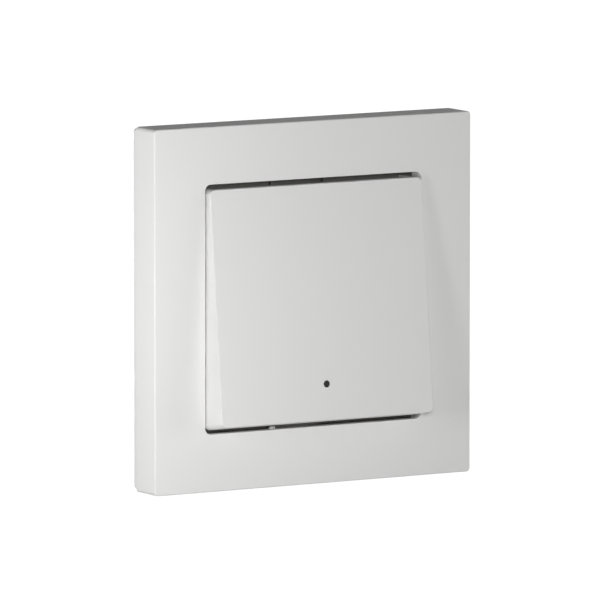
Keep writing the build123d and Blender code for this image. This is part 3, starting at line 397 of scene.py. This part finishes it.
# %% [markdown]
# ## Electronic parts
# Inside the box each part has the coat that its maker gives it: a blue relay cap, a fired
# ferrite core, yellow polyester tape over the winding, a dark shrink sleeve, an ochre film
# capacitor box, a blue dipped varistor and a green flameproof resistor. Tape and dipped epoxy
# shine, moulded boxes have a dull sheen, and the ferrite looks dry. They are dielectrics whose
# grain, colour spread and gloss differ, so one table of real values feeds one tree.

# %% Coats of the electronic parts
# Each row: finish, deep and pale colour, grain in mm, least and most roughness, relief in mm.
COATS = {
    "relay_plastic": ("moulded_blue_pbt", "#1B3358", "#23406C", 0.2, 0.35, 0.5, 0.004),
    "ferrite": ("fired_ferrite", "#2E2F31", "#46474A", 0.25, 0.45, 0.75, 0.02),
    "winding_tape": ("polyester_tape", "#D0A02C", "#E0B548", 2.5, 0.22, 0.38, 0.02),
    "capacitor_sleeve": ("shrunk_polyolefin_sleeve", "#1A1D24", "#262A33", 1.2, 0.3, 0.42, 0.01),
    "film_box": ("moulded_ochre_pbt", "#B58A2A", "#C49A38", 0.3, 0.35, 0.5, 0.005),
    "varistor_coat": ("dipped_blue_epoxy", "#1F4A86", "#2A5A9C", 1.5, 0.2, 0.34, 0.06),
    "resistor_coat": ("flameproof_green_enamel", "#7E9A7C", "#8FAA8B", 0.8, 0.4, 0.55, 0.03),
}
for slot, (name, deep, pale, size, smooth, rough, relief) in COATS.items():
    material, tree, shader, place = start_finish(name)
    grain = add(tree, "TexNoise", {"Scale": per_mm(size), "Detail": 3.0}, {"Vector": place}, "Fac")
    colour = add(
        tree, "Mix", {"data_type": "RGBA", "A_Color": linear(deep), "B_Color": linear(pale)},
        {"Factor_Float": grain}, "Result_Color",
    )
    gloss = add(tree, "MapRange", {"To Min": smooth, "To Max": rough}, {"Value": grain}, "Result")
    bump = add(tree, "Bump", {"Strength": 0.5, "Distance": relief * MM}, {"Height": grain}, "Normal")
    tune(tree, shader, {"IOR": 1.55}, {"Base Color": colour, "Roughness": gloss, "Normal": bump})
    dress(material, slot)

# %% [markdown]
# ## Tubes of rings
# Springs, screw shanks, threads and heads can all be drawn as rings of points joined into a
# closed tube, whether the rings follow a helix or a straight axis. Curve objects with a bevel
# would also do, but a mesh can be squashed, cut and counted.

# %% Rings and tubes
def ring(radius, height, count):
    """A level circle of points around the Z axis."""
    turns = [2 * math.pi * n / count for n in range(count)]
    return [Vector((radius * math.cos(t), radius * math.sin(t), height)) for t in turns]


def skin(mesh, rings):
    """Joins rings of points into a closed tube with flat ends."""
    made = [[mesh.verts.new(point) for point in loop] for loop in rings]
    for near, far in zip(made, made[1:]):
        for n in range(len(near)):
            following = (n + 1) % len(near)
            mesh.faces.new((near[n], near[following], far[following], far[n]))
    mesh.faces.new(made[0][::-1])
    mesh.faces.new(made[-1])


sample = bmesh.new()
skin(sample, [ring(MM, 0, 6), ring(MM, MM, 6)])
print("a six-sided tube has", len(sample.faces), "faces")
sample.free()

# %% From a tube to a piece on its body
SHARP_ANGLE = 35.0


def to_mesh(shape, name, sharp_angle=SHARP_ANGLE):
    """Turns a bmesh into mesh data, smooth except along its sharp edges."""
    bmesh.ops.recalc_face_normals(shape, faces=shape.faces)
    data = bpy.data.meshes.new(name)
    shape.to_mesh(data)
    shape.free()
    data.shade_smooth()
    data.set_sharp_from_angle(angle=math.radians(sharp_angle))
    return data


def place_piece(name, data, slot, body, *replaced):
    """Puts a new piece on its body, in the finish of its slot, in place of CAD nodes if any."""
    data.materials.append(finishes[slot])
    piece = bpy.data.objects.new(name, data)
    scene.collection.objects.link(piece)
    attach(piece, body)
    if replaced:
        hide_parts(*replaced)
    print(name, "rides on", body, "with", len(data.polygons), "faces")
    return piece


print("finishes that a new piece can have:", len(finishes))

# %% [markdown]
# ## Return springs
# Two compression springs push the rocker's lower half out. Real ones have closed ends: the
# first and last turns lie flat so that the spring stands square on its seat. The CAD coil has an
# even pitch and can't shorten, so a mesh coil with closed ends takes its place.

# %% Coil springs
SPRING_TURNS = 6
SPRING_STEPS = 32
WIRE_RADIUS = 0.3 * MM
WIRE_POINTS = 10
WIRE_SHARP_ANGLE = 60.0


def spring_rise(turn, height):
    """How far along its axis the wire has come: closed turns at the ends, even between."""
    closed = 2 * WIRE_RADIUS
    open_turns = SPRING_TURNS - 2
    even = (height - 2 * closed) / open_turns
    first = closed * min(turn, 1)
    between = even * min(max(turn - 1, 0), open_turns)
    last = closed * max(turn - 1 - open_turns, 0)
    return first + between + last


def coil_spring(node):
    """A closed-end spring that fills a CAD spring's box, and the seat it rises from, along -Y."""
    low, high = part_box(node)
    middle = (low + high) / 2
    seat = Vector((middle.x, high.y, middle.z))
    radius = (high.x - low.x) / 2 - WIRE_RADIUS
    height = high.y - low.y - 2 * WIRE_RADIUS
    around = [2 * math.pi * n / WIRE_POINTS for n in range(WIRE_POINTS)]
    rings = []
    for n in range(SPRING_TURNS * SPRING_STEPS + 1):
        turn = n / SPRING_STEPS
        angle = 2 * math.pi * turn
        out = Vector((math.cos(angle), 0, math.sin(angle)))
        along = high.y - WIRE_RADIUS - spring_rise(turn, height)
        centre = Vector((middle.x, along, middle.z)) + out * radius
        rings.append([
            centre + out * (WIRE_RADIUS * math.cos(t)) + Vector((0, WIRE_RADIUS * math.sin(t), 0))
            for t in around
        ])
    shape = bmesh.new()
    skin(shape, rings)
    return to_mesh(shape, node + "_coil", WIRE_SHARP_ANGLE), seat


for side in ("left", "right"):
    node = "return_spring_" + side
    data, seat = coil_spring(node)
    piece = place_piece(side + "_coil_spring", data, "spring_steel", "module", node)
    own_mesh(piece)

# %% [markdown]
# ## Painted light: a white lug in the lower gap
# Deep in the gap under the rocker stands a small white lug, just left of the carrier's grey tab.
# It is painted light: the lamps don't reach the lit left side of the tab here, so this bright
# piece stands in for that lit patch. A cube with a bevel would come close, but a moulded lug
# narrows towards its tip so that it can leave its tool, so it is drawn as rings with clipped
# corners that shrink from foot to tip. The place of its tip is worked out from the picture.

# %% Painted light lug
LUG_WIDTH = 1.5 * MM
LUG_DEPTH = 0.6 * MM
LUG_CLIP = 0.1 * MM
LUG_TIP = Vector((-9.95, -8.3, -28.57)) * MM
# Each ring: its height from the tip and its share of the lug's width and depth.
LUG_RINGS = ((-1.6 * MM, 1.1), (-0.1 * MM, 1.0), (0, 0.9))

half_x, half_y = LUG_WIDTH / 2, LUG_DEPTH / 2
outline = []
for sign_x, sign_y in ((1, -1), (1, 1), (-1, 1), (-1, -1)):
    clipped = [(half_x - LUG_CLIP, half_y), (half_x, half_y - LUG_CLIP)]
    if sign_x == sign_y:
        clipped.reverse()
    outline += [(sign_x * x, sign_y * y) for x, y in clipped]
shape = bmesh.new()
skin(shape, [
    [LUG_TIP + Vector((x * share, y * share, rise)) for x, y in outline]
    for rise, share in LUG_RINGS
])
# Painted light: this white lug paints the lit patch on the tab's side, which the lamps can't reach.
place_piece("painted_light_lug", to_mesh(shape, "painted_light_lug"), "white_plastic", "module")

# %% [markdown]
# ## Rolled threads
# The CAD screws are plain pins with the right heads, and their threads are added here. A thread
# is rolled between dies into a ridge that climbs the screw's core and fades out at both ends. A
# screw modifier could wind it, but it can't fade, so a small four-cornered ring is carried along
# a helix. The claw and terminal screws are M3. The housing screws are coarser, since they form
# their own thread in plastic.

# %% Thread
THREAD_STEPS = 20
# The ridge's foot and flat tip as shares of the pitch, and where the foot starts by the core.
THREAD_FOOT = 0.92
THREAD_TIP = 0.16
THREAD_SINK = 0.97
# Two threads, by the radius of the core, the radius of the crest and the pitch.
M3 = {"core": 1.2 * MM, "crest": 1.5 * MM, "pitch": 0.5 * MM}
FORMING = {"core": 0.8 * MM, "crest": 1.1 * MM, "pitch": 0.8 * MM}


def thread(shape, start, end, core, crest, pitch):
    """Winds a ridge around the core from start to end."""
    count = int((end - start) / pitch * THREAD_STEPS)
    rings = []
    for n in range(count + 1):
        angle = 2 * math.pi * n / THREAD_STEPS
        middle = start + pitch * n / THREAD_STEPS
        out = Vector((math.cos(angle), math.sin(angle), 0))
        fade = min(1, n / THREAD_STEPS, (count - n) / THREAD_STEPS)
        tip = core + (crest - core) * fade
        foot = core * THREAD_SINK
        profile = (
            (foot, -THREAD_FOOT / 2), (tip, -THREAD_TIP / 2),
            (tip, THREAD_TIP / 2), (foot, THREAD_FOOT / 2),
        )
        rings.append([out * radius + Vector((0, 0, middle + pitch * up)) for radius, up in profile])
    skin(shape, rings)


sample = bmesh.new()
thread(sample, 0, 4 * MM, **M3)
print("a thread of 4 mm has", len(sample.faces), "faces")
sample.free()

# %% [markdown]
# ## Heads and drives
# A screw's head is pressed cold in a die that leaves its edge round, and a punch drives in the
# slot or the cross. The head is rings again, over the quarter circle of that edge. The drive is
# cut out with a boolean, because a cross has slanting walls that are awkward to build face by
# face.

# %% Head with its drive
HEAD_POINTS = 40
# Degrees around the round edge, from the flat of the head to its side.
EDGE_ANGLES = (90, 70, 50, 30, 15, 0)
# What a cross narrows to at its bottom.
CROSS_TAPER = 0.55


def drive_outline(length, width, cross):
    """A slot, or a cross of two slots, as a ring of corner points."""
    half, arm = width / 2, length / 2
    if not cross:
        return [(arm, half), (-arm, half), (-arm, -half), (arm, -half)]
    quarter = [(arm, -half), (arm, half), (half, half)]
    turns = [(1, 0), (0, 1), (-1, 0), (0, -1)]
    return [(c * x - s * y, s * x + c * y) for c, s in turns for x, y in quarter]


def cut(solid, tool):
    """Cuts one mesh out of another and gives back the result."""
    holders = [bpy.data.objects.new(data.name, data) for data in (solid, tool)]
    for holder in holders:
        scene.collection.objects.link(holder)
    carve = holders[0].modifiers.new("carve", "BOOLEAN")
    carve.object = holders[1]
    bpy.context.view_layer.update()
    carved = holders[0].evaluated_get(bpy.context.evaluated_depsgraph_get())
    result = bpy.data.meshes.new_from_object(carved)
    for holder in holders:
        bpy.data.objects.remove(holder)
    return result


def screw_head(name, radius, head, edge, drive, cross):
    """A head from z = -head to z = 0 with a rounded outer edge and its drive cut in."""
    turns = [math.radians(angle) for angle in EDGE_ANGLES]
    rings = [
        ring(radius - edge * (1 - math.cos(t)), -head + edge * (1 - math.sin(t)), HEAD_POINTS)
        for t in turns
    ]
    shape = bmesh.new()
    skin(shape, rings + [ring(radius, 0, HEAD_POINTS)])
    length, width, depth = drive
    taper = CROSS_TAPER if cross else 1.0
    tool = bmesh.new()
    skin(tool, [
        [Vector((x * share, y * share, height)) for x, y in drive_outline(length, width, cross)]
        for share, height in ((2 - taper, -head - depth), (taper, -head + depth))
    ])
    return cut(to_mesh(shape, name + "_head"), to_mesh(tool, name + "_drive"))


print("points around a head:", HEAD_POINTS, "and around a cross:", len(drive_outline(MM, MM / 4, True)))

# %% [markdown]
# ## Whole screws
# Two cross-headed screws pull the claws out, four hold the housing, and a slotted one clamps each
# wire. Each is drawn upright around the Z axis, with the inner face of its head at zero, and then
# turned to its place. The lengths come from the boxes of the CAD screws that they replace.

# %% Screw builder
SHANK_POINTS = 20
# How far the shank starts inside the head, the point's length by the core, and its slope.
SHANK_INSET = 0.25
POINT_LENGTH = 0.6
POINT_SLOPE = 0.7


def screw(name, radius, length, head, edge, drive, cross, core, crest, pitch):
    """A screw with its head below z = 0 and its shank along +Z."""
    shape = bmesh.new()
    shape.from_mesh(screw_head(name, radius, head, edge, drive, cross))
    point = core * POINT_LENGTH
    skin(shape, [
        ring(core, -head * SHANK_INSET, SHANK_POINTS),
        ring(core, length - point, SHANK_POINTS),
        ring(core - point * POINT_SLOPE, length, SHANK_POINTS),
    ])
    thread(shape, pitch, length - point, core, crest, pitch)
    return to_mesh(shape, name)


def stand(data, turn, place):
    """Turns an upright screw to its direction and sets its head's inner face at a place."""
    data.transform(Matrix.Translation(place) @ turn)
    return data


print("points around a shank:", SHANK_POINTS)

# %% Claw screws
UP_TO_BACK = Matrix.Rotation(math.radians(-90), 4, "X")
# The head's height and edge radius, and the length, width and depth of its drive.
CLAW_SCREW = {
    "head": 2.0 * MM, "edge": 1.0 * MM,
    "drive": (3.4 * MM, 0.7 * MM, 1.1 * MM), "cross": True, **M3,
}

for side in ("left", "right"):
    node = side + "_claw_screw"
    low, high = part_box(node)
    middle = (low + high) / 2
    head = CLAW_SCREW["head"]
    data = screw(node, (high.x - low.x) / 2, high.y - low.y - head, **CLAW_SCREW)
    stand(data, UP_TO_BACK, Vector((middle.x, low.y + head, middle.z)))
    place_piece(side + "_threaded_claw_screw", data, "zinc_screw", side + "_claw", node)

# %% Housing screws
UP_TO_FRONT = Matrix.Rotation(math.radians(90), 4, "X")
HOUSING_SCREW_RADIUS = 2.0 * MM
HOUSING_SCREW = {
    "head": 1.6 * MM, "edge": 0.5 * MM,
    "drive": (2.4 * MM, 0.6 * MM, 0.8 * MM), "cross": True, **FORMING,
}

low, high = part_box("housing_screws")
head = HOUSING_SCREW["head"]
housing_set = bmesh.new()
for x in (low.x + HOUSING_SCREW_RADIUS, high.x - HOUSING_SCREW_RADIUS):
    for z in (low.z + HOUSING_SCREW_RADIUS, high.z - HOUSING_SCREW_RADIUS):
        data = screw("housing_screw", HOUSING_SCREW_RADIUS, high.y - low.y - head, **HOUSING_SCREW)
        housing_set.from_mesh(stand(data, UP_TO_FRONT, Vector((x, high.y - head, z))))
data = to_mesh(housing_set, "housing_screw_set")
place_piece("housing_screw_set", data, "zinc_screw", "module", "housing_screws")

# %% Terminal screws
UPRIGHT = Matrix.Identity(4)
TERMINAL_SCREW = {
    "head": 1.6 * MM, "edge": 0.3 * MM,
    "drive": (6.0 * MM, 0.7 * MM, 0.8 * MM), "cross": False, **M3,
}

for number in (1, 2, 3, 4):
    node = "terminal_screw_" + str(number)
    low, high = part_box(node)
    middle = (low + high) / 2
    head = TERMINAL_SCREW["head"]
    data = screw(node, (high.x - low.x) / 2, high.z - low.z - head, **TERMINAL_SCREW)
    stand(data, UPRIGHT, Vector((middle.x, middle.y, low.z + head)))
    place_piece("threaded_" + node, data, "zinc_screw", node, node)

# %% [markdown]
# ## Studio
# A pale floor lies well below the switch, so that its shadow falls outside the picture. Camera
# rays see the floor and the air around it as white, and so do the rays that mirrors and clear
# pieces send out, so that metal shows the same studio as the eye. Matt surfaces are lit only by
# the lamps and a little light from all round. The floor glows a touch less than white, which
# leaves room for a shadow on it.

# %% Floor
FLOOR_Z = -250.0 * MM
FLOOR_HALF = 20.0
FLOOR_GLOW = 0.97


def seen_directly(tree):
    """Gives 1 to rays from the lens, a mirror or glass, and 0 to rays that light a matt surface."""
    paths = add(tree, "LightPath").outputs
    mirrored = add(
        tree, "Math", {"operation": "MAXIMUM"},
        {"Value": paths["Is Glossy Ray"], "Value_001": paths["Is Transmission Ray"]}, "Value",
    )
    return add(
        tree, "Math", {"operation": "MAXIMUM"},
        {"Value": paths["Is Camera Ray"], "Value_001": mirrored}, "Value",
    )


corners = [(x * FLOOR_HALF, y * FLOOR_HALF, FLOOR_Z) for x, y in ((-1, -1), (1, -1), (1, 1), (-1, 1))]
floor_data = bpy.data.meshes.new("studio_floor")
floor_data.from_pydata(corners, [], [(0, 1, 2, 3)])
floor = bpy.data.objects.new("studio_floor", floor_data)
scene.collection.objects.link(floor)

material = bpy.data.materials.new("painted_white_floor")
material.use_nodes = True
tree = material.node_tree
glow = add(
    tree, "Math", {"operation": "MULTIPLY", "Value_001": FLOOR_GLOW},
    {"Value": seen_directly(tree)}, "Value",
)
tune(
    tree, tree.nodes["Principled BSDF"],
    {"Base Color": linear("#E4E4E4"), "Roughness": 0.9, "Emission Color": linear("#FFFFFF")},
    {"Emission Strength": glow},
)
floor_data.materials.append(material)

# %% Air
AIR_LIGHT = 0.04

world = bpy.data.worlds.new("studio_air")
scene.world = world
world.use_nodes = True
tree = world.node_tree
tree.nodes.clear()
strength = add(
    tree, "MapRange", {"To Min": AIR_LIGHT, "To Max": 1.0}, {"Value": seen_directly(tree)}, "Result"
)
glow = add(tree, "Background", {"Color": linear("#FFFFFF")}, {"Strength": strength}, "Background")
add(tree, "OutputWorld", {}, {"Surface": glow})
print("nodes of the air:", len(tree.nodes))

# %% [markdown]
# ## Lamps
# The picture's light falls off from left to right and leaves hardly a shadow beside the rocker.
# A lamp next to the lens does the second, because its shadows hide behind the things that cast
# them. Two at arm's length and two small ones close to the left do the first. One behind the
# left side lights the frame's edge, and a soft one on the right keeps the far side from going
# dark. No lamp hangs above, since the frame's top is dim in the picture. The last two stand on
# the right and behind, show those sides and never reach what the picture shows.

# %% Soft boxes
# Each row: azimuth and elevation in degrees, distance and width in metres, power in watts.
LAMPS = {
    "beside_lens": (30, 11, 2.0, 0.1, 5.66),
    "arm_length_high": (25, 10, 0.4, 0.05, 0.186),
    "arm_length_low": (25, 0, 0.4, 0.05, 0.242),
    "close_left_high": (63.4, 6.8, 0.169, 0.02, 0.0335),
    "close_left_low": (56.3, -4, 0.1446, 0.02, 0.0335),
    "left_side": (115, 2, 0.4, 0.2, 0.455),
    "far_right": (-65, 0, 1.5, 0.8, 6.25),
    "right_side": (-108, -15, 0.4, 0.12, 0.42),
    "behind": (-163, -20, 0.5, 0.18, 0.65),
}


def soft_box(name, azimuth, elevation, distance, width, watts):
    """A square lamp turned to the switch. Azimuth 0 is in front and 90 is on its left."""
    lamp = bpy.data.lights.new(name, "AREA")
    lamp.size = width
    lamp.energy = watts
    turn, rise = math.radians(azimuth), math.radians(elevation)
    level = Vector((-math.sin(turn), -math.cos(turn), 0)) * math.cos(rise)
    holder = bpy.data.objects.new(name, lamp)
    holder.location = distance * (level + Vector((0, 0, math.sin(rise))))
    holder.rotation_euler = (-holder.location).to_track_quat("-Z", "Y").to_euler()
    holder.visible_camera = False
    scene.collection.objects.link(holder)


for name, row in LAMPS.items():
    soft_box(name, *row)
print("lamps:", len(LAMPS))
